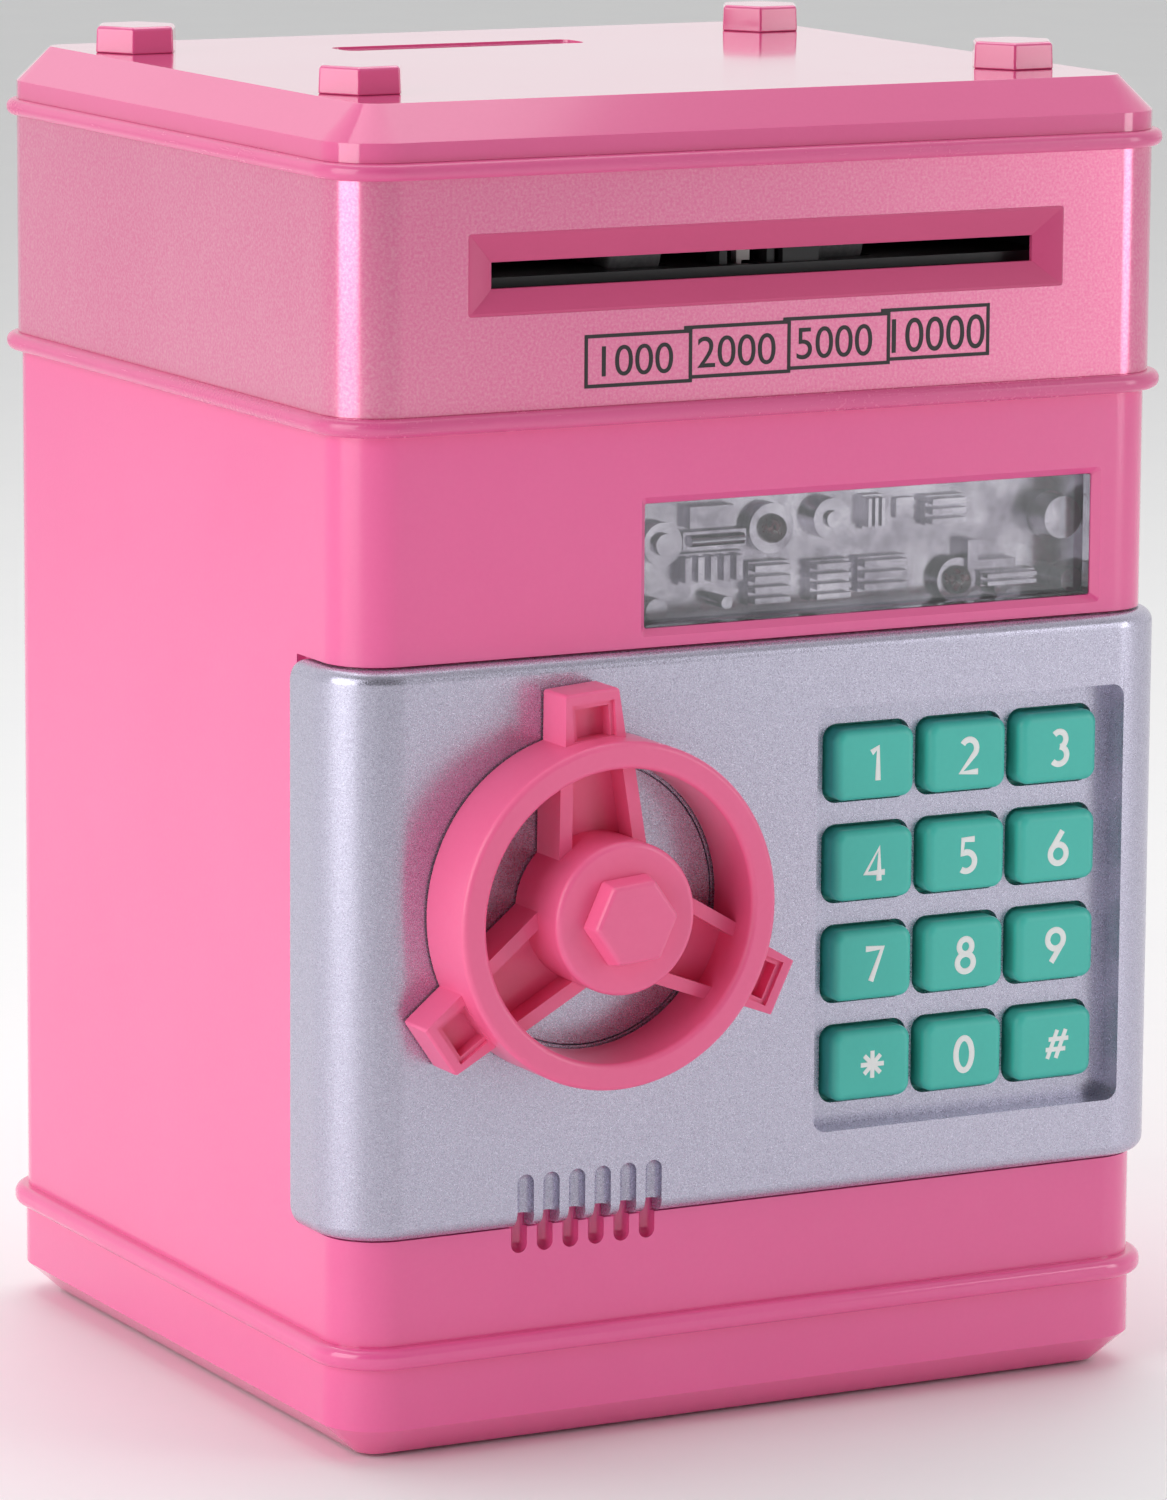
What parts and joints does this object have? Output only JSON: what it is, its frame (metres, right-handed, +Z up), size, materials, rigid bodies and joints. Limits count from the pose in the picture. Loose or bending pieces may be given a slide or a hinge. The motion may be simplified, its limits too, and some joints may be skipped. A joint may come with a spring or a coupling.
{
  "type": "toy safe coin bank",
  "caption": "Toy safe bank shaped like a small cash machine: hinged silver door with handwheel and keypad, motor note slot, lit window and lid coin slot.",
  "frame": {"origin": "centre of the overall box in plan, at the underside of the feet", "axes": "+Z up, -Y towards the door's face, +X to the right seen from the door"},
  "size_m": [0.1352, 0.1392, 0.1945],
  "materials": {
    "case_pink": "glossy moulded plastic",
    "head_pink": "metallic gloss",
    "lid_pink": "glossy moulded plastic",
    "trim_pink": "glossy moulded plastic",
    "wheel_pink": "glossy moulded plastic",
    "door_silver": "silver fleck paint on plastic",
    "key_teal": "satin moulded plastic",
    "print_black": "printed ink",
    "lens_clear": "clear moulded plastic",
    "panel_chrome": "vacuum-metallised plastic",
    "led_red": "tinted clear plastic",
    "board_green": "solder mask",
    "part_black": "moulded",
    "inner_white": "moulded",
    "steel": "plated",
    "roller_grey": "ground rubber",
    "rubber_black": "moulded",
    "gear_white": "moulded acetal",
    "cell_green": "printed sleeve",
    "sheet_grey": "silicone"
  },
  "bodies": {
    "safe_case": {"body_shell": "case_pink", "base_tray": "case_pink", "waist_band": "trim_pink", "head_shell": "head_pink", "crown_band": "trim_pink", "lid": "lid_pink", "hex_studs": "lid_pink", "slot_bezel": "trim_pink", "amount_print": "print_black", "window_lens": "lens_clear", "window_panel": "panel_chrome", "led_pair": "led_red", "panel_board": "board_green", "coin_chute": "inner_white", "feeder_chassis": "part_black", "feeder_motor": "steel", "bill_sensor": "part_black", "main_board": "board_green", "board_parts": "part_black", "board_screws": "steel", "speaker": "part_black", "battery_cells": "cell_green", "battery_contacts": "steel", "battery_cover": "case_pink", "battery_screw": "steel", "base_screws": "steel", "rubber_feet": "rubber_black", "hinge_pins": "steel", "strike_plate": "steel"},
    "door": {"door_skin": "door_silver", "door_cover": "inner_white", "cover_screws": "steel", "wheel_plate": "door_silver", "keypad_board": "board_green", "dome_sheet": "sheet_grey", "lock_frame": "part_black", "solenoid_coil": "steel"},
    "handwheel_body": {"handwheel": "wheel_pink", "wheel_cap": "wheel_pink", "latch_shaft": "gear_white"},
    "bolt": {"latch_bolt": "steel"},
    "plunger": {"solenoid_plunger": "steel"},
    "feed_pinion": {"motor_pinion": "gear_white"},
    "feed_shaft": {"drive_shaft": "steel", "feed_rollers": "roller_grey"},
    "pinch": {"pinch_shaft": "steel", "pinch_rollers": "roller_grey"},
    "note_lever": {"sensor_lever": "inner_white"},
    "key_1_body": {"key_1": "key_teal"},
    "key_2_body": {"key_2": "key_teal"},
    "key_3_body": {"key_3": "key_teal"},
    "key_4_body": {"key_4": "key_teal"},
    "key_5_body": {"key_5": "key_teal"},
    "key_6_body": {"key_6": "key_teal"},
    "key_7_body": {"key_7": "key_teal"},
    "key_8_body": {"key_8": "key_teal"},
    "key_9_body": {"key_9": "key_teal"},
    "key_star_body": {"key_star": "key_teal"},
    "key_0_body": {"key_0": "key_teal"},
    "key_hash_body": {"key_hash": "key_teal"}
  },
  "joints": [
    {"name": "door_hinge", "type": "hinge", "parent": "safe_case", "child": "door", "pos_m": [0.06389, -0.03836, 0.0729], "axis": [0, 0, 1], "range_deg": [0, 95]},
    {"name": "handwheel_turn", "type": "hinge", "parent": "door", "child": "handwheel_body", "pos_m": [-0.02995, -0.0619, 0.07845], "axis": [0, 1, 0], "range_deg": [0, 90]},
    {"name": "bolt_slide", "type": "slide", "parent": "door", "child": "bolt", "axis": [-1, 0, 0], "range_m": [0, 0.0063]},
    {"name": "plunger_slide", "type": "slide", "parent": "door", "child": "plunger", "axis": [0, 0, 1], "range_m": [0, 0.0025]},
    {"name": "motor_spin", "type": "hinge", "parent": "safe_case", "child": "feed_pinion", "pos_m": [-0.05475, -0.0227, 0.1525], "axis": [1, 0, 0], "continuous": true},
    {"name": "feed_spin", "type": "hinge", "parent": "safe_case", "child": "feed_shaft", "pos_m": [0, -0.0357, 0.1565], "axis": [1, 0, 0], "continuous": true},
    {"name": "pinch_spin", "type": "hinge", "parent": "safe_case", "child": "pinch", "pos_m": [0, -0.0357, 0.1689], "axis": [1, 0, 0], "continuous": true},
    {"name": "lever_swing", "type": "hinge", "parent": "safe_case", "child": "note_lever", "pos_m": [0, -0.0424, 0.174], "axis": [1, 0, 0], "range_deg": [0, 35], "stiffness_Nm_per_rad": 0.0005},
    {"name": "key_1_press", "type": "slide", "parent": "door", "child": "key_1_body", "axis": [0, 1, 0], "range_m": [0, 0.0015], "stiffness_N_per_m": 300, "springref_m": -0.0005},
    {"name": "key_2_press", "type": "slide", "parent": "door", "child": "key_2_body", "axis": [0, 1, 0], "range_m": [0, 0.0015], "stiffness_N_per_m": 300, "springref_m": -0.0005},
    {"name": "key_3_press", "type": "slide", "parent": "door", "child": "key_3_body", "axis": [0, 1, 0], "range_m": [0, 0.0015], "stiffness_N_per_m": 300, "springref_m": -0.0005},
    {"name": "key_4_press", "type": "slide", "parent": "door", "child": "key_4_body", "axis": [0, 1, 0], "range_m": [0, 0.0015], "stiffness_N_per_m": 300, "springref_m": -0.0005},
    {"name": "key_5_press", "type": "slide", "parent": "door", "child": "key_5_body", "axis": [0, 1, 0], "range_m": [0, 0.0015], "stiffness_N_per_m": 300, "springref_m": -0.0005},
    {"name": "key_6_press", "type": "slide", "parent": "door", "child": "key_6_body", "axis": [0, 1, 0], "range_m": [0, 0.0015], "stiffness_N_per_m": 300, "springref_m": -0.0005},
    {"name": "key_7_press", "type": "slide", "parent": "door", "child": "key_7_body", "axis": [0, 1, 0], "range_m": [0, 0.0015], "stiffness_N_per_m": 300, "springref_m": -0.0005},
    {"name": "key_8_press", "type": "slide", "parent": "door", "child": "key_8_body", "axis": [0, 1, 0], "range_m": [0, 0.0015], "stiffness_N_per_m": 300, "springref_m": -0.0005},
    {"name": "key_9_press", "type": "slide", "parent": "door", "child": "key_9_body", "axis": [0, 1, 0], "range_m": [0, 0.0015], "stiffness_N_per_m": 300, "springref_m": -0.0005},
    {"name": "key_star_press", "type": "slide", "parent": "door", "child": "key_star_body", "axis": [0, 1, 0], "range_m": [0, 0.0015], "stiffness_N_per_m": 300, "springref_m": -0.0005},
    {"name": "key_0_press", "type": "slide", "parent": "door", "child": "key_0_body", "axis": [0, 1, 0], "range_m": [0, 0.0015], "stiffness_N_per_m": 300, "springref_m": -0.0005},
    {"name": "key_hash_press", "type": "slide", "parent": "door", "child": "key_hash_body", "axis": [0, 1, 0], "range_m": [0, 0.0015], "stiffness_N_per_m": 300, "springref_m": -0.0005}
  ],
  "couplings": [
    {"joint": "bolt_slide", "follows": "handwheel_turn", "m_per_rad": 0.004},
    {"joint": "motor_spin", "follows": "feed_spin", "ratio": -2.4},
    {"joint": "pinch_spin", "follows": "feed_spin", "ratio": -1}
  ]
}
